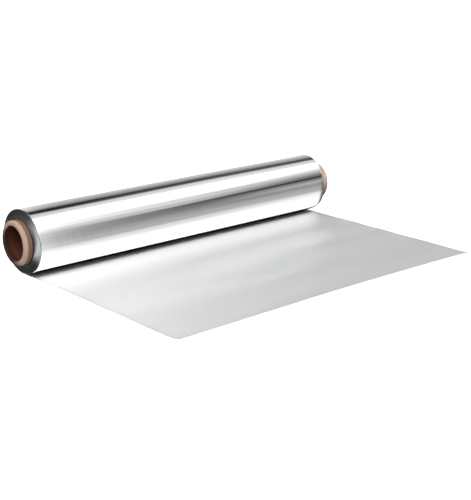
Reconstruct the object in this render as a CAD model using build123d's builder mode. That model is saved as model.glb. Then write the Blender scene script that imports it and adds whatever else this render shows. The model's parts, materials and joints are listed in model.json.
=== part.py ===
"""Aluminium foil roll: a paperboard core, and one long web of foil wound on it with its free end pulled out flat.

The frame is in millimetres. X runs along the roll's axis, -Y is the way the free end is pulled out and +Z is up.
The origin is on the table, under the middle of the box that holds the whole object.
"""

import os
from math import sqrt

from build123d import *

# Paperboard core, a tube wound from plies of kraft board
core_bore = 27.0
core_wall = 4.0
core_outer_round = 2.0
core_bore_round = 1.0
left_stub = 8.0
right_stub = 12.7

# Foil web, wound on the core and pulled out under the roll
foil_width = 300.0
wound_build = 8.0
lead_length = 187.0
lead_gauge = 0.3
cling_length = 4.0
lead_corner_round = 3.0

# Turns that show on the wound ends as one spiral ridge; each ridge stands for a bundle of turns
turn_pitch = 1.3
turn_groove = 0.5
turn_depth = 0.25

# Sizes that follow from the ones above
core_radius = core_bore / 2 + core_wall
core_length = left_stub + foil_width + right_stub
core_left = -core_length / 2
foil_left = core_left + left_stub
foil_right = foil_left + foil_width
roll_radius = core_radius + wound_build
axis_height = roll_radius
axis_y = (lead_length - roll_radius) / 2
lead_front = axis_y - lead_length
spiral_turns = int((wound_build - turn_pitch) / turn_pitch)


def spiral_edge(inner_radius):
    """One edge of a flat spiral: half circles about two centres that stand half a pitch apart."""
    for turn in range(spiral_turns):
        radius = inner_radius + turn * turn_pitch
        foot = (0, -radius)
        crown = (0, radius)
        next_foot = (0, -radius - turn_pitch)
        ThreePointArc(foot, (-radius, 0), crown)
        ThreePointArc(crown, (radius + turn_pitch / 2, -turn_pitch / 2), next_foot)


# Core: a plain tube, longer than the foil is wide, cut square. Its cut edges are worn round, and between them at
# least a quarter of the wall stays flat.
with BuildPart() as core:
    with BuildSketch(Plane.YZ.offset(core_left)):
        with Locations((axis_y, axis_height)):
            Circle(core_radius)
            Circle(core_bore / 2, mode=Mode.SUBTRACT)
    extrude(amount=core_length)
    rims = core.edges().filter_by(GeomType.CIRCLE).group_by(SortBy.RADIUS)
    fillet(rims[-1], min(core_outer_round, core_wall / 2))
    fillet(rims[0], min(core_bore_round, core_wall / 4))

# Foil: the wound turns and the free end are one web, so one profile is drawn and carried across the width.
# The last turn comes down the back, passes under the roll and leaves it forwards as the lead. The front half of
# the roll has lost that turn, so it is drawn half a gauge smaller about a centre half a gauge higher.
with BuildPart() as foil:
    with BuildSketch(Plane.YZ.offset(foil_left)):
        with BuildLine():
            bottom = (axis_y, 0)
            top = (axis_y, 2 * roll_radius)
            front_radius = roll_radius - lead_gauge / 2
            front_height = axis_height + lead_gauge / 2
            peel_y = axis_y - cling_length
            peel_height = front_height - sqrt(front_radius**2 - cling_length**2)
            ThreePointArc(bottom, (axis_y + roll_radius, axis_height), top)
            ThreePointArc(top, (axis_y - front_radius, front_height), (peel_y, peel_height))
            Polyline(
                (peel_y, peel_height),
                (peel_y, lead_gauge),
                (lead_front, lead_gauge),
                (lead_front, 0),
                bottom,
            )
        make_face()
        with Locations((axis_y, axis_height)):
            Circle(core_radius, mode=Mode.SUBTRACT)
    extrude(amount=foil_width)

    # The near corner of the free end is worn round
    front_corners = foil.edges().filter_by(Axis.Z).group_by(Axis.Y)[0]
    fillet(front_corners.sort_by(Axis.X)[0], lead_corner_round)

    # A spiral groove in each wound end leaves the ridge of the turns standing
    for end_x, depth in ((foil_left, turn_depth), (foil_right, -turn_depth)):
        with BuildSketch(Plane((end_x, axis_y, axis_height), x_dir=(0, 1, 0), z_dir=(1, 0, 0))):
            groove_start = core_radius + (turn_pitch - turn_groove) / 2
            groove_end = groove_start + spiral_turns * turn_pitch
            with BuildLine():
                spiral_edge(groove_start)
                spiral_edge(groove_start + turn_groove)
                Line((0, -groove_start), (0, -groove_start - turn_groove))
                Line((0, -groove_end), (0, -groove_end - turn_groove))
            make_face()
        extrude(amount=depth, mode=Mode.SUBTRACT)

os.makedirs("parts", exist_ok=True)
core.part.label = "core"
foil.part.label = "foil"
export_step(core.part, "parts/core.step")
export_step(foil.part, "parts/foil.step")
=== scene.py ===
import json
from math import atan2, cos, exp, hypot, pi, radians, sin, sqrt

import bmesh
import bpy
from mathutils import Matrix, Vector, noise


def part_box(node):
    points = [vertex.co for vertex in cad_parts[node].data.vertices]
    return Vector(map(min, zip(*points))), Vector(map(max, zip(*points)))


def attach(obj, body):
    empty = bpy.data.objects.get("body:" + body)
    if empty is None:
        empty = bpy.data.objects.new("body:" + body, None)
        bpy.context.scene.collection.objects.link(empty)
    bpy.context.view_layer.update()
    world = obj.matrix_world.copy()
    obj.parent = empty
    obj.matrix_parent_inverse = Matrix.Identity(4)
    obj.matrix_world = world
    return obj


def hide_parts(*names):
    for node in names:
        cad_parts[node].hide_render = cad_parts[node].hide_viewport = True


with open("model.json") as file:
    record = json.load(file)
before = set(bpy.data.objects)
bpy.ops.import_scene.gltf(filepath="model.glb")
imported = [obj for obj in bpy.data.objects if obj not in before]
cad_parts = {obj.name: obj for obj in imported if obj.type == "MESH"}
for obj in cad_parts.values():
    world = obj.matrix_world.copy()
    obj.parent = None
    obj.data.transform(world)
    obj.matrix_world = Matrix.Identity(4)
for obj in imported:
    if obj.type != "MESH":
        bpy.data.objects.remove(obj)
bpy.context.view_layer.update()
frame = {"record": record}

# Core: a tube wound on the slant from plies of kraft paperboard, glued, and sawn to length. The foil is wound
# on it. It is longer than the foil is wide, so a stub with worn round edges stands out at each end.
mm = 0.001
core_low, core_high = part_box("core")
foil_low, foil_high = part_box("foil")
core_radius = (core_high.z - core_low.z) / 2
bore_radius = frame["record"]["mounts"][0]["dims"]["r_mm"] * mm
axis = Vector((0, core_low.y + core_radius, core_low.z + core_radius))
left_round = 2.0 * mm
right_round = 1.0 * mm
bore_round = 1.0 * mm
round_segments = 6
core_columns = 240
edge_loop = 0.4 * mm
fibre_lift = 0.05 * mm
fibre_length = 1.5 * mm
core_weld = 0.001 * mm
sharp_corner = radians(40)


def add_piece(name, bm, *materials):
    """Makes a finished bmesh an object of the scene, smooth all over but for its sharp corners."""
    bmesh.ops.recalc_face_normals(bm, faces=bm.faces)
    for face in bm.faces:
        face.smooth = True
    for edge in bm.edges:
        edge.smooth = edge.calc_face_angle(pi) < sharp_corner
    mesh = bpy.data.meshes.new(name)
    bm.to_mesh(mesh)
    bm.free()
    for material in materials:
        mesh.materials.append(material)
    piece = bpy.data.objects.new(name, mesh)
    bpy.context.scene.collection.objects.link(piece)
    return piece


def add_node(tree, kind, inputs, **settings):
    """Adds a node with its settings. Each input is a value, or the output that it is linked to."""
    made = tree.nodes.new(kind)
    for name, value in settings.items():
        setattr(made, name, value)
    for name, value in inputs.items():
        if isinstance(value, bpy.types.NodeSocket):
            tree.links.new(value, made.inputs[name])
        else:
            made.inputs[name].default_value = value
    return made


def linear(hex_colour):
    """An sRGB colour such as "A0785A" as the linear red, green, blue and alpha that a socket takes."""
    parts = [int(hex_colour[i : i + 2], 16) / 255 for i in (0, 2, 4)]
    return [p / 12.92 if p <= 0.04045 else ((p + 0.055) / 1.055) ** 2.4 for p in parts] + [1.0]


# Kraft paperboard: the wall's sawn end is raw pale fibre in rings of plies, worn over the edge. The brown
# liner shows outside, with the slanting seam of its strip, and the bore is painted darker as painted shade.
# Painted shade also darkens the left end's lower back, the underside of the right end and the line where
# the left stub meets the foil.
sawn_pale = "CDB7A8"
sawn_deep = "9C7D68"
liner_brown = "806352"
# Painted shade: the bore's wall takes this darker brown in place of the liner's
bore_shade_brown = "5C3323"
seam_brown = "5E432F"
# Painted shade: this dark brown paints shade on the left end's lower back, the stub's root and the right
# stub's underside
painted_shade_brown = "33261E"
ply = 0.55 * mm
grain_deep = 0.7
grain_pale = 1.3
fuzz_height = 0.1 * mm
left_worn = 2.4 * mm
right_worn = 6 * mm
worn_fray = 1.2 * mm
worn_fade = 0.8 * mm
lip_begins = 0.1 * mm
lip_ends = 0.6 * mm
bore_liner_ends = 0.2 * mm
side_liner_begins = 0.8 * mm
seam_pitch = 104 * mm
seam_turn = 0.45
seam_gap = 0.5 * mm
# Painted shade on the left end, darkest towards its lower back
painted_shade_side = Vector((0, 0.8, -0.6))
painted_shade_begins = -2 * mm
painted_shade_ends = 12 * mm
painted_shade_reach = 3 * mm
painted_shade_most = 0.95
# Painted shade under the right stub
under_shade_begins = 6 * mm
under_shade_ends = -13 * mm
under_shade_most = 0.9
# Painted shadow: a dark band on the left stub where it meets the foil
painted_root_shade = 0.8 * mm

kraft = bpy.data.materials.new("kraft paperboard")
kraft.use_nodes = True
tree = kraft.node_tree
shader = tree.nodes["Principled BSDF"]
place = add_node(tree, "ShaderNodeTexCoord", {})
centred = add_node(
    tree, "ShaderNodeMapping", {"Vector": place.outputs["Object"], "Location": (0, -axis.y, -axis.z)}
)
parts = add_node(tree, "ShaderNodeSeparateXYZ", {"Vector": centred.outputs["Vector"]})
across = add_node(tree, "ShaderNodeCombineXYZ", {"Y": parts.outputs["Y"], "Z": parts.outputs["Z"]})
radius = add_node(tree, "ShaderNodeVectorMath", {0: across.outputs["Vector"]}, operation="LENGTH")
fibres = add_node(
    tree,
    "ShaderNodeTexNoise",
    {"Vector": centred.outputs["Vector"], "Scale": 1 / fibre_length, "Detail": 5.0, "Roughness": 0.7},
)
rings = add_node(
    tree,
    "ShaderNodeTexNoise",
    {"W": radius.outputs["Value"], "Scale": 1 / ply, "Detail": 2.0},
    noise_dimensions="1D",
)
sawn_grain = add_node(
    tree, "ShaderNodeMath", {0: fibres.outputs["Fac"], 1: rings.outputs["Fac"]}, operation="ADD"
)
sawn_share = add_node(
    tree,
    "ShaderNodeMapRange",
    {
        "Value": sawn_grain.outputs["Value"],
        "From Min": grain_deep,
        "From Max": grain_pale,
        "To Min": 0.0,
        "To Max": 1.0,
    },
)
sawn_colour = add_node(
    tree,
    "ShaderNodeMix",
    {"Factor": sawn_share.outputs["Result"], "A": linear(sawn_deep), "B": linear(sawn_pale)},
    data_type="RGBA",
)
turn = add_node(
    tree, "ShaderNodeMath", {0: parts.outputs["Z"], 1: parts.outputs["Y"]}, operation="ARCTAN2"
)
slant = add_node(
    tree,
    "ShaderNodeMath",
    {0: turn.outputs["Value"], 1: seam_pitch / (2 * pi), 2: parts.outputs["X"]},
    operation="MULTIPLY_ADD",
)
to_seam = add_node(
    tree, "ShaderNodeMath", {0: slant.outputs["Value"], 1: seam_turn * seam_pitch}, operation="ADD"
)
from_seam = add_node(
    tree, "ShaderNodeMath", {0: to_seam.outputs["Value"], 1: seam_pitch / 2}, operation="PINGPONG"
)
seam_share = add_node(
    tree,
    "ShaderNodeMapRange",
    {
        "Value": from_seam.outputs["Value"],
        "From Min": 0.0,
        "From Max": seam_gap,
        "To Min": 1.0,
        "To Max": 0.0,
    },
)
liner_colour = add_node(
    tree,
    "ShaderNodeMix",
    {"Factor": seam_share.outputs["Result"], "A": linear(liner_brown), "B": linear(seam_brown)},
    data_type="RGBA",
)
inner_share = add_node(
    tree,
    "ShaderNodeMapRange",
    {
        "Value": radius.outputs["Value"],
        "From Min": bore_radius + bore_liner_ends,
        "From Max": bore_radius + side_liner_begins,
        "To Min": 1.0,
        "To Max": 0.0,
    },
)
skin_colour = add_node(
    tree,
    "ShaderNodeMix",
    {
        "Factor": inner_share.outputs["Result"],
        "A": liner_colour.outputs["Result"],
        "B": linear(bore_shade_brown),
    },
    data_type="RGBA",
)
worn_middle = add_node(
    tree, "ShaderNodeMath", {0: parts.outputs["X"], 1: (right_worn - left_worn) / 2}, operation="ADD"
)
along = add_node(tree, "ShaderNodeMath", {0: worn_middle.outputs["Value"]}, operation="ABSOLUTE")
worn_edge = add_node(
    tree,
    "ShaderNodeMath",
    {0: fibres.outputs["Fac"], 1: worn_fray, 2: along.outputs["Value"]},
    operation="MULTIPLY_ADD",
)
worn_share = add_node(
    tree,
    "ShaderNodeMapRange",
    {
        "Value": worn_edge.outputs["Value"],
        "From Min": core_high.x - (left_worn + right_worn) / 2,
        "From Max": core_high.x - (left_worn + right_worn) / 2 + worn_fade,
        "To Min": 0.0,
        "To Max": 1.0,
    },
)
out_of_bore = add_node(
    tree,
    "ShaderNodeMapRange",
    {
        "Value": radius.outputs["Value"],
        "From Min": bore_radius + lip_begins,
        "From Max": bore_radius + lip_ends,
        "To Min": 0.0,
        "To Max": 1.0,
    },
)
raw_share = add_node(
    tree,
    "ShaderNodeMath",
    {0: worn_share.outputs["Result"], 1: out_of_bore.outputs["Result"]},
    operation="MULTIPLY",
)
board_colour = add_node(
    tree,
    "ShaderNodeMix",
    {
        "Factor": raw_share.outputs["Value"],
        "A": skin_colour.outputs["Result"],
        "B": sawn_colour.outputs["Result"],
    },
    data_type="RGBA",
)
# Painted shade: darkens the left end towards its lower back
to_painted_shade = add_node(
    tree, "ShaderNodeVectorMath", {0: centred.outputs["Vector"], 1: painted_shade_side}, operation="DOT_PRODUCT"
)
painted_shade_share = add_node(
    tree,
    "ShaderNodeMapRange",
    {
        "Value": to_painted_shade.outputs["Value"],
        "From Min": painted_shade_begins,
        "From Max": painted_shade_ends,
        "To Min": 0.0,
        "To Max": painted_shade_most,
    },
    interpolation_type="SMOOTHSTEP",
)
painted_shade_at_left_end = add_node(
    tree,
    "ShaderNodeMapRange",
    {
        "Value": parts.outputs["X"],
        "From Min": core_low.x + painted_shade_reach,
        "From Max": core_low.x + 2 * painted_shade_reach,
        "To Min": 1.0,
        "To Max": 0.0,
    },
)
left_back_painted_shade = add_node(
    tree,
    "ShaderNodeMath",
    {0: painted_shade_share.outputs["Result"], 1: painted_shade_at_left_end.outputs["Result"]},
    operation="MULTIPLY",
)
# Painted shadow: a dark band on the left stub next to the foil
root = add_node(
    tree,
    "ShaderNodeMath",
    {0: parts.outputs["X"], 1: foil_low.x - painted_root_shade, 2: painted_root_shade},
    operation="COMPARE",
)
root_outside = add_node(
    tree,
    "ShaderNodeMath",
    {0: root.outputs["Value"], 1: out_of_bore.outputs["Result"]},
    operation="MULTIPLY",
)
# Painted shade: darkens the right stub's underside
under_shade_share = add_node(
    tree,
    "ShaderNodeMapRange",
    {
        "Value": parts.outputs["Z"],
        "From Min": under_shade_begins,
        "From Max": under_shade_ends,
        "To Min": 0.0,
        "To Max": under_shade_most,
    },
    interpolation_type="SMOOTHSTEP",
)
right_end = add_node(
    tree,
    "ShaderNodeMath",
    {0: parts.outputs["X"], 1: foil_high.x - painted_shade_reach},
    operation="GREATER_THAN",
)
under = add_node(
    tree,
    "ShaderNodeMath",
    {0: under_shade_share.outputs["Result"], 1: right_end.outputs["Value"]},
    operation="MULTIPLY",
)
left_painted_shade = add_node(
    tree,
    "ShaderNodeMath",
    {0: left_back_painted_shade.outputs["Value"], 1: root_outside.outputs["Value"]},
    operation="MAXIMUM",
)
all_painted_shade = add_node(
    tree,
    "ShaderNodeMath",
    {0: left_painted_shade.outputs["Value"], 1: under.outputs["Value"]},
    operation="MAXIMUM",
)
# Painted shade: the board colour is mixed towards the dark brown wherever shade is painted
board_with_painted_shade = add_node(
    tree,
    "ShaderNodeMix",
    {
        "Factor": all_painted_shade.outputs["Value"],
        "A": board_colour.outputs["Result"],
        "B": linear(painted_shade_brown),
    },
    data_type="RGBA",
)
tree.links.new(board_with_painted_shade.outputs["Result"], shader.inputs["Base Color"])
fuzz = add_node(
    tree,
    "ShaderNodeBump",
    {"Height": sawn_grain.outputs["Value"], "Strength": 0.6, "Distance": fuzz_height},
)
tree.links.new(fuzz.outputs["Normal"], shader.inputs["Normal"])
shader.inputs["Roughness"].default_value = 0.9
shader.inputs["Specular IOR Level"].default_value = 0.2

bm = bmesh.new()
corners = [
    bm.verts.new((x, axis.y, axis.z + r))
    for x, r in (
        (core_low.x, bore_radius),
        (core_low.x, core_radius),
        (core_high.x, core_radius),
        (core_high.x, bore_radius),
    )
]
bm.faces.new(corners)
rounds = (
    (corners[1:2], left_round),
    (corners[2:3], right_round),
    (corners[0::3], bore_round),
)
for rounded, size in rounds:
    bmesh.ops.bevel(
        bm,
        geom=rounded,
        offset=size,
        affect="VERTICES",
        segments=round_segments,
        profile=0.5,
        material=-1,
    )
bmesh.ops.delete(bm, geom=bm.faces[:], context="FACES_ONLY")
bmesh.ops.spin(
    bm,
    geom=bm.verts[:] + bm.edges[:],
    cent=axis,
    axis=(1, 0, 0),
    angle=2 * pi,
    steps=core_columns,
    use_merge=True,
)
bmesh.ops.remove_doubles(bm, verts=bm.verts, dist=core_weld)
for x in (core_low.x + left_round + edge_loop, core_high.x - right_round - edge_loop):
    bmesh.ops.bisect_plane(
        bm, geom=bm.verts[:] + bm.edges[:] + bm.faces[:], plane_co=(x, 0, 0), plane_no=(1, 0, 0)
    )
for vert in bm.verts:
    vert.co += fibre_lift * noise.noise_vector(vert.co / fibre_length)
core = add_piece("core_tube", bm, kraft)
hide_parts("core")
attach(core, "root")

# Wound foil: about a hundred metres of thin aluminium foil, wound on the core with its bright side out. The
# turns' edges lie side by side on the two ends as a fine spiral, and the outermost turn is a little slack.
# Handling has pushed the ends into low domes that lean out by 2 to 3 mm, and pinched the lower right rim.
foil_width = foil_high.x - foil_low.x
roll_radius = (foil_high.z - foil_low.z) / 2
pulled_gauge = 0.3 * mm
winding_gap = 0.05 * mm
wound_inside = core_radius + winding_gap
turn_count = 14
turn_steps = 4
turn_pitch = (roll_radius - wound_inside) / turn_count
turn_groove = 0.03 * mm
turn_lift = 0.02 * mm
turn_change = 1.9
left_rim = 0.8 * mm
right_rim = 0.8 * mm
rim_loop = 0.3 * mm
left_lean = 2.4 * mm
right_lean = 2.4 * mm
low_lean = 2.6 * mm
low_turn = radians(60)
lean_flat = 3 * mm
lean_reach = 10 * mm
end_taper = 1.0 * mm
taper_reach = 9 * mm
taper_rows = 6
core_gap = 0.25 * mm
core_gap_depth = 1.2 * mm
end_crown = 1.4 * mm
crown_reach = 3.0 * mm
crown_out = 0.7 * mm
roll_columns = 480
roll_rows = 60
end_tolerance = 0.01 * mm
end_facing = 0.5
roll_weld = 0.002 * mm
slack = 0.12 * mm
slack_length = 90 * mm
slack_turns = 1.3
ripple = 0.1 * mm
ripple_length = 160 * mm
ripple_width = 2.3 * mm

bm = bmesh.new()
end_steps = range(-turn_steps, turn_count * turn_steps + 1)
end_radii = [wound_inside + step * turn_pitch / turn_steps for step in end_steps]
section = [(foil_low.x, r) for r in end_radii]
row_places = [row * foil_width / roll_rows for row in range(1, roll_rows)]
row_places += [foil_width - taper_reach * row / taper_rows for row in range(1, taper_rows)]
row_places += [left_rim + rim_loop, foil_width - right_rim - rim_loop]
row_places.sort()
section += [(foil_low.x + place, roll_radius) for place in row_places]
section += [(foil_high.x, r) for r in reversed(end_radii)]
chain = [bm.verts.new((x, axis.y, axis.z + r)) for x, r in section]
for near, far in zip(chain, chain[1:] + chain[:1]):
    bm.edges.new((near, far))
spun = bmesh.ops.spin(
    bm,
    geom=bm.verts[:] + bm.edges[:],
    cent=axis,
    axis=(1, 0, 0),
    angle=2 * pi,
    steps=roll_columns,
)
last_column = {item for item in spun["geom_last"] if isinstance(item, bmesh.types.BMVert)}


def turn_of(co):
    """How far round the axis a place is, from the top towards the front, as a share of a whole turn."""
    # A hair past the seam, so that the first column reads 0 and never 1
    past_seam = 1e-6
    return (atan2(axis.y - co.y, co.z - axis.z) / (2 * pi) + past_seam) % 1.0


for vert in bm.verts:
    share = 1.0 if vert in last_column else turn_of(vert.co)
    angle = 2 * pi * share
    r = hypot(vert.co.y - axis.y, vert.co.z - axis.z)
    x = vert.co.x
    at_end = min(x - foil_low.x, foil_high.x - x) < end_tolerance
    if at_end:
        # Each ring moves out by one pitch in one turn and meets the next ring, so the rings become one spiral
        ring = (r - wound_inside) / turn_pitch
        grown = r + share * turn_pitch
        r = min(max(grown, wound_inside), roll_radius)
        if grown >= roll_radius:
            depth = 0.0
        elif grown <= wound_inside or round(ring * turn_steps) % turn_steps == 0:
            depth = turn_groove
        else:
            depth = turn_lift * (0.5 + 0.5 * noise.noise((turn_change * (ring + share), 0.5, x)))
        rim = left_rim if x < 0 else right_rim
        past_flat = min(max(r - (roll_radius - rim), 0), rim)
        depth += rim - sqrt(rim**2 - past_flat**2)
        depth += end_crown * (1 - exp(-(r - wound_inside) / crown_reach)) - crown_out
        depth += core_gap_depth * exp(-(((r - wound_inside) / core_gap) ** 2))
        x += depth if x < 0 else -depth
    else:
        spot = Vector((x / slack_length, slack_turns * sin(angle), slack_turns * cos(angle)))
        r -= slack * (0.5 + 0.5 * noise.noise(spot))
        spot = Vector((x / ripple_length, sin(angle) * r / ripple_width, cos(angle) * r / ripple_width))
        r -= ripple * (0.5 + 0.5 * noise.noise(spot))
    # The right end leans out at its top and its lower front, and the left end at its back
    near_right = min(max((lean_flat + lean_reach - (foil_high.x - x)) / lean_reach, 0), 1)
    near_left = min(max((lean_flat + lean_reach - (x - foil_low.x)) / lean_reach, 0), 1)
    outside = (r - wound_inside) / (roll_radius - wound_inside)
    lower_side = (0.5 - 0.5 * cos(angle)) ** 2
    r -= end_taper * outside * lower_side * max(1 - (foil_high.x - x) / taper_reach, 0) ** 2
    lean = right_lean * max(cos(angle), 0) ** 3 + low_lean * max(sin(angle - low_turn), 0) ** 2
    x += near_right * lean * r / roll_radius
    x -= near_left * left_lean * (1 - sin(angle) * r / roll_radius) / 2
    vert.co = (x, axis.y - r * sin(angle), axis.z + r * cos(angle))
    if vert.co.y < axis.y:
        # The front half has lost the turn that was pulled out
        lost = outside * pulled_gauge / 2
        outward = Vector((0, vert.co.y - axis.y, vert.co.z - axis.z)) / roll_radius
        vert.co += lost * (Vector((0, 0, 1)) - outward)
bmesh.ops.remove_doubles(bm, verts=bm.verts, dist=roll_weld)

web = bm.loops.layers.uv.new("web")
for face in bm.faces:
    centre = face.calc_center_median()
    on_end = abs(face.normal.x) > end_facing
    face.material_index = 1 if on_end else 0
    for loop in face.loops:
        share = turn_of(loop.vert.co)
        share += round(turn_of(centre) - share)
        r = hypot(loop.vert.co.y - axis.y, loop.vert.co.z - axis.z)
        loop[web].uv = (r if on_end else loop.vert.co.x, share * 2 * pi * roll_radius)

# Bright foil: the side that met the polished mill roll, a mirror with faint lines along the web that smear
# reflections across it. The real lines are far finer, and these are drawn coarse enough to show.
aluminium = "F7F7F7"
line_spacing = 0.5 * mm
line_length = 30 * mm
line_dip = 0.3
line_crest = 0.7


def lined_metal(name, spacing, detail, smoothest, roughest):
    """Makes a metal with lines along the web that change its roughness. Gives it and its shader back."""
    metal = bpy.data.materials.new(name)
    metal.use_nodes = True
    tree = metal.node_tree
    shader = tree.nodes["Principled BSDF"]
    place = add_node(tree, "ShaderNodeUVMap", {}, uv_map="web")
    stretched = add_node(
        tree,
        "ShaderNodeMapping",
        {"Vector": place.outputs["UV"], "Scale": (1 / spacing, 1 / line_length, 1)},
    )
    lines = add_node(
        tree,
        "ShaderNodeTexNoise",
        {"Vector": stretched.outputs["Vector"], "Scale": 1.0, "Detail": detail},
    )
    polish = add_node(
        tree,
        "ShaderNodeMapRange",
        {
            "Value": lines.outputs["Fac"],
            "From Min": line_dip,
            "From Max": line_crest,
            "To Min": smoothest,
            "To Max": roughest,
        },
    )
    tree.links.new(polish.outputs["Result"], shader.inputs["Roughness"])
    lay = add_node(tree, "ShaderNodeTangent", {}, direction_type="UV_MAP", uv_map="web")
    tree.links.new(lay.outputs["Tangent"], shader.inputs["Tangent"])
    return metal, shader


bright, shader = lined_metal(
    "bright rolled aluminium", line_spacing, detail=3.0, smoothest=0.07, roughest=0.13
)
shader.inputs["Base Color"].default_value = linear(aluminium)
shader.inputs["Metallic"].default_value = 1.0
shader.inputs["Anisotropic"].default_value = 0.5

# Wound edges: the slit edges of the turns, packed side by side. The eye sees a dark satin metal disc with
# rings that fan the light out from the core. The real rings are as fine as the foil, and these far coarser.
slit_grey = "96989A"
ring_spacing = 0.3 * mm

edges, shader = lined_metal(
    "slit aluminium edges", ring_spacing, detail=2.0, smoothest=0.33, roughest=0.39
)
shader.inputs["Base Color"].default_value = linear(slit_grey)
shader.inputs["Metallic"].default_value = 1.0
shader.inputs["Anisotropic"].default_value = 0.92

turns = add_piece("foil_turns", bm, bright, edges)
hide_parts("foil")
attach(turns, "root")

# Free end: the last turn, pulled out forwards from under the roll and laid flat on the table. Its upper face
# is the satin side and its underside the bright one. It holds soft waves and streaks, its side edges stand up
# a little, and its front right corner is pulled forwards.
lead_length = axis.y - foil_low.y
lead_gauge = 0.1 * mm
lead_columns = 240
lead_rows = 150
corner_round = 3.0 * mm
corner_cuts = 6
front_lift = 1.0 * mm
front_reach = 40 * mm
wave_height = 0.25 * mm
wave_length = 46 * mm
wave_sway = 3
wave_slant = 2
sway_length = 80 * mm
sway_width = 60 * mm
flat_reach = 45 * mm
dimple_height = 0.1 * mm
dimple_length = 35 * mm
streak_height = 0.15 * mm
streak_length = 45 * mm
streak_width = 6 * mm
left_lift = 0.45 * mm
left_reach = 2.0 * mm
corner_pull = 2.0 * mm
pull_reach = 60 * mm
right_lift = 0.2 * mm
right_reach = 22 * mm
right_begins = 12 * mm
right_ends = 90 * mm
upper_facing = 0.5


def lead_height(x, y):
    """How far the free end stands off the table at a place. Each noise's last number picks its pattern."""
    from_left = (x - foil_low.x) / foil_width
    from_front = y - foil_low.y
    from_roll = axis.y - y
    loose = min(max(from_roll / flat_reach, 0), 1) ** 2
    lift = front_lift * sin(pi * from_left) ** 2 * exp(-((from_front / front_reach) ** 2))
    sway = wave_sway * noise.noise((x / sway_length, y / sway_width, 2.0))
    waves = wave_height * (0.5 + 0.5 * sin(2 * pi * from_front / wave_length + sway + wave_slant * from_left))
    dimples = dimple_height * (1 + noise.noise((x / dimple_length, y / dimple_length, 7.0)))
    streaks = streak_height * (0.5 + 0.5 * noise.noise((x / streak_length, y / streak_width, 4.0)))
    left_edge = left_lift * exp(-(((x - foil_low.x) / left_reach) ** 2))
    right_edge = right_lift * exp(-(((foil_high.x - x) / right_reach) ** 2))
    right_edge *= min(max(from_roll / right_begins, 0), 1)
    right_edge *= exp(-((from_roll / right_ends) ** 2))
    return loose * (lift + waves + dimples + streaks + left_edge) + right_edge


bm = bmesh.new()
bmesh.ops.create_grid(bm, x_segments=lead_columns, y_segments=lead_rows, size=0.5)
bmesh.ops.scale(bm, vec=(foil_width, lead_length, 1), verts=bm.verts)
lead_middle = Vector(((foil_low.x + foil_high.x) / 2, foil_low.y + lead_length / 2, 0))
bmesh.ops.translate(bm, vec=lead_middle, verts=bm.verts)
corner_centre = Vector((foil_low.x + corner_round, foil_low.y + corner_round, 0))
for cut in range(corner_cuts):
    angle = pi / 2 * (cut + 0.5) / corner_cuts
    outward = Vector((-cos(angle), -sin(angle), 0))
    bmesh.ops.bisect_plane(
        bm,
        geom=bm.verts[:] + bm.edges[:] + bm.faces[:],
        plane_co=corner_centre + corner_round * outward,
        plane_no=outward,
        clear_outer=True,
    )
for vert in bm.verts:
    vert.co.z = lead_height(vert.co.x, vert.co.y)
    near_right = max(1 - (foil_high.x - vert.co.x) / pull_reach, 0)
    near_front = max(1 - (vert.co.y - foil_low.y) / pull_reach, 0)
    vert.co.y -= corner_pull * near_right**2 * near_front
raised = bmesh.ops.extrude_face_region(bm, geom=bm.faces[:], use_keep_orig=True)
upper = [item for item in raised["geom"] if isinstance(item, bmesh.types.BMVert)]
bmesh.ops.translate(bm, vec=(0, 0, lead_gauge), verts=upper)
bmesh.ops.recalc_face_normals(bm, faces=bm.faces)
web = bm.loops.layers.uv.new("web")
for face in bm.faces:
    face.material_index = 0 if face.normal.z > upper_facing else 1
    for loop in face.loops:
        loop[web].uv = loop.vert.co.xy

# Satin foil: the side that was rolled against another foil, so it has no mill polish. It blurs what it
# mirrors, most of all across the web, and its fine pits scatter a little of the light.
satin_white = "EDEEEE"

satin, shader = lined_metal(
    "satin rolled aluminium", line_spacing, detail=3.0, smoothest=0.36, roughest=0.41
)
shader.inputs["Base Color"].default_value = linear(satin_white)
shader.inputs["Metallic"].default_value = 0.87
shader.inputs["Anisotropic"].default_value = 0.65

lead = add_piece("foil_lead", bm, satin, bright)
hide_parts("foil")
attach(lead, "root")
lead.visible_glossy = False

# Studio: a wide pale table, in a room of plain soft panels that the bright foil mirrors. Softboxes hang high
# to the left and right with a dark gap behind them, the back of the room is pale and its front grey.
floor_reach = 12.0
floor_drop = 0.2 * mm
floor_white = "F7F7F7"

# White painted board: matt, and evenly near white
table_top = bpy.data.materials.new("white painted board")
table_top.use_nodes = True
shader = table_top.node_tree.nodes["Principled BSDF"]
shader.inputs["Base Color"].default_value = linear(floor_white)
shader.inputs["Roughness"].default_value = 0.9
shader.inputs["Specular IOR Level"].default_value = 0.1
shader.inputs["Emission Color"].default_value = linear(floor_white)
shader.inputs["Emission Strength"].default_value = 0.9
bm = bmesh.new()
bmesh.ops.create_grid(bm, x_segments=1, y_segments=1, size=floor_reach)
bmesh.ops.translate(bm, vec=(0, 0, -floor_drop), verts=bm.verts)
table = add_piece("table", bm, table_top)
table.visible_glossy = False
table.visible_diffuse = False

# The foil doesn't mirror the table itself: the room's lower half stands in for it, and a black strip, a
# painted shadow, stands in for the roll's own shadow on it. The strip shows in mirrors only.
shade_reach = 10.3 * mm
shade_back = 12 * mm
shade_past_end = 25 * mm
shade_drop = 0.4 * mm
shade_black = "060606"

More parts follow.
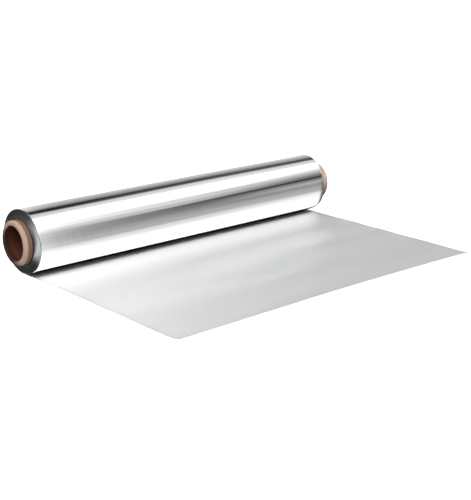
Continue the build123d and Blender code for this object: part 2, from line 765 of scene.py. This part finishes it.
# Painted shadow: a black strip that only mirrors see
shade = bpy.data.materials.new("painted shadow black")
shade.use_nodes = True
shader = shade.node_tree.nodes["Principled BSDF"]
shader.inputs["Base Color"].default_value = linear(shade_black)
shader.inputs["Roughness"].default_value = 1.0
shader.inputs["Specular IOR Level"].default_value = 0.0
bm = bmesh.new()
bmesh.ops.create_grid(bm, x_segments=1, y_segments=1, size=0.5)
bmesh.ops.scale(bm, vec=(foil_width + shade_past_end, shade_reach + shade_back, 1), verts=bm.verts)
shade_middle = Vector(
    (
        (foil_low.x + foil_high.x + shade_past_end) / 2,
        axis.y + (shade_back - shade_reach) / 2,
        -shade_drop,
    )
)
bmesh.ops.translate(bm, vec=shade_middle, verts=bm.verts)
shadow = add_piece("shadow_strip", bm, shade)
shadow.visible_camera = False
shadow.visible_diffuse = False
shadow.visible_shadow = False

# The room's light, as brightness at angles about the roll: 0 is the foot of the back wall, 90 overhead, 180
# the front of the room and -90 the table below. Each list is a wall, and the walls stand at shares of the
# direction along the roll, from -1 at the far left to 1 at the far right. The ramps hold the levels as shares
# of the brightest one.
exposure = 0.93
brightest = 8.0
far_end = [(-180, 0.5), (180, 0.5)]
table_below = [
    (-180, 0.3), (-172, 0.42), (-154, 0.52), (-144, 0.9), (-128, 1.2), (-112, 1.4), (-40, 1.4), (-20, 0.9),
]
# Left: a white card low in the corner lights the wound edges, and a softbox hangs over a dark foot
left_card = [
    (-180, 0.5), (-68, 0.5), (-56, 8.0), (-10, 8.0), (-4, 0.05), (8, 0.05), (24, 0.3), (90, 0.8), (180, 0.5),
]
left_corner = [
    (-180, 0.5), (-110, 0.5), (-60, 0.05), (-8, 0.05), (16, 0.3), (48, 0.3), (60, 0.05), (90, 0.6),
    (180, 0.5),
]
left_wall = left_corner[:-1] + [(100, 6.0), (133, 6.0), (150, 1.5), (180, 0.5)]
# Middle: a narrow lamp overhead, then a bright panel whose glow lies on the free end
middle_wall = table_below[:-2] + [
    (-48, 1.4), (-38, 0.2), (-8, 0.2), (2, 1.0), (40, 1.0), (54, 0.1), (64, 0.1), (72, 0.5), (94, 0.6),
    (98, 2.0), (106, 2.0), (110, 0.6), (124, 0.8), (156, 0.66), (180, 0.34),
]
bright_panel = [
    (-180, 2.6), (-40, 2.6), (-10, 1.9), (46, 1.9), (54, 0.1), (64, 0.1), (72, 0.6), (112, 1.0), (136, 2.6),
    (180, 2.6),
]
# Right: a softbox overhead and a grey front with a dark gap, then a corner that is dark at its foot and front
right_inner = table_below + [
    (0, 0.8), (20, 0.58), (38, 0.38), (48, 0.26), (54, 0.0), (66, 0.0), (72, 0.6), (90, 0.95), (98, 6.0),
    (110, 6.0), (116, 1.4), (136, 1.0), (146, 0.62), (156, 0.46), (166, 0.36), (180, 0.32),
]
right_middle = table_below + [
    (0, 0.74), (20, 0.6), (30, 0.49), (40, 0.3), (48, 0.08), (56, 0.05), (62, 0.3), (70, 0.65), (76, 0.85),
    (86, 1.05), (96, 6.0), (110, 6.0), (116, 1.4), (130, 0.76), (140, 0.62), (150, 0.48), (154, 0.06),
    (160, 0.08), (166, 0.14), (174, 0.26), (180, 0.3),
]
right_outer = [
    (-180, 0.3), (-172, 0.42), (-154, 0.52), (-144, 0.9), (-112, 1.4), (-58, 1.4), (-50, 0.1), (-24, 0.1),
    (-12, 0.8), (0, 0.85), (20, 0.7), (32, 0.52), (44, 0.34), (52, 0.16), (56, 0.05), (60, 0.05), (66, 0.32),
    (75, 0.75), (86, 0.85), (95, 6.0), (106, 6.0), (112, 1.3), (124, 0.66), (132, 0.42), (140, 0.3),
    (146, 0.16), (151, 0.0), (157, 0.0), (162, 0.42), (169, 0.58), (174, 0.5), (180, 0.24),
]
right_corner = [
    (-180, 0.1), (-22, 0.03), (-8, 1.0), (45, 1.0), (56, 0.8), (120, 1.0), (140, 0.3), (180, 0.1),
]
right_dark = [
    (-180, 0.02), (-20, 0.02), (0, 0.4), (40, 0.5), (56, 0.6), (120, 0.6), (150, 0.1), (180, 0.02),
]
walls = [
    (-0.97, far_end),
    (-0.93, left_card),
    (-0.84, left_card),
    (-0.76, left_corner),
    (-0.62, left_wall),
    (-0.32, left_wall),
    (-0.10, middle_wall),
    (0.22, middle_wall),
    (0.30, bright_panel),
    (0.415, bright_panel),
    (0.50, right_inner),
    (0.62, right_middle),
    (0.69, right_outer),
    (0.72, right_outer),
    (0.75, right_corner),
    (0.90, right_dark),
    (0.97, far_end),
]
world = bpy.data.worlds.new("studio")
bpy.context.scene.world = world
world.use_nodes = True
tree = world.node_tree
ray = add_node(tree, "ShaderNodeTexCoord", {})
parts = add_node(tree, "ShaderNodeSeparateXYZ", {"Vector": ray.outputs["Generated"]})
rise = add_node(
    tree, "ShaderNodeMath", {0: parts.outputs["Z"], 1: parts.outputs["Y"]}, operation="ARCTAN2"
)
whole_turn = add_node(
    tree,
    "ShaderNodeMapRange",
    {"Value": rise.outputs["Value"], "From Min": -pi, "From Max": pi, "To Min": 0.0, "To Max": 1.0},
)
light = None
for along, stops in walls:
    wall = add_node(tree, "ShaderNodeValToRGB", {"Fac": whole_turn.outputs["Result"]})
    elements = wall.color_ramp.elements
    while len(elements) < len(stops):
        elements.new(1.0)
    for element, (angle, level) in zip(elements, stops):
        element.position = (angle + 180) / 360
        element.color = (level / brightest, level / brightest, level / brightest, 1.0)
    if light:
        share = add_node(
            tree,
            "ShaderNodeMapRange",
            {
                "Value": parts.outputs["X"],
                "From Min": reached,
                "From Max": along,
                "To Min": 0.0,
                "To Max": 1.0,
            },
        )
        mixed = add_node(
            tree,
            "ShaderNodeMix",
            {"Factor": share.outputs["Result"], "A": light, "B": wall.outputs["Color"]},
            data_type="RGBA",
        )
        light = mixed.outputs["Result"]
    else:
        light = wall.outputs["Color"]
    reached = along
tree.links.new(light, tree.nodes["Background"].inputs["Color"])
tree.nodes["Background"].inputs["Strength"].default_value = exposure * brightest
bpy.context.scene.view_settings.view_transform = "Standard"

# Camera: to the left of the roll and in front of it, a little above, as in the photograph.
picture_long_side = 500
focal_pixels = 1115.5
sensor = 36.0
camera_yaw = radians(41.16)
camera_pitch = radians(-16.70)
camera_left = 562.5 * mm
camera_front = 717.1 * mm
camera_up = 262.4 * mm
foil_middle = (foil_low.x + foil_high.x) / 2
stand = Vector((foil_middle - camera_left, axis.y - camera_front, foil_low.z + camera_up))

camera = bpy.data.cameras.new("camera")
camera.sensor_width = sensor
camera.lens = focal_pixels * sensor / picture_long_side
camera.clip_start = 0.01
viewer = bpy.data.objects.new("camera", camera)
viewer.location = stand
viewer.rotation_euler = (pi / 2 + camera_pitch, 0, -camera_yaw)
bpy.context.scene.collection.objects.link(viewer)
bpy.context.scene.camera = viewer
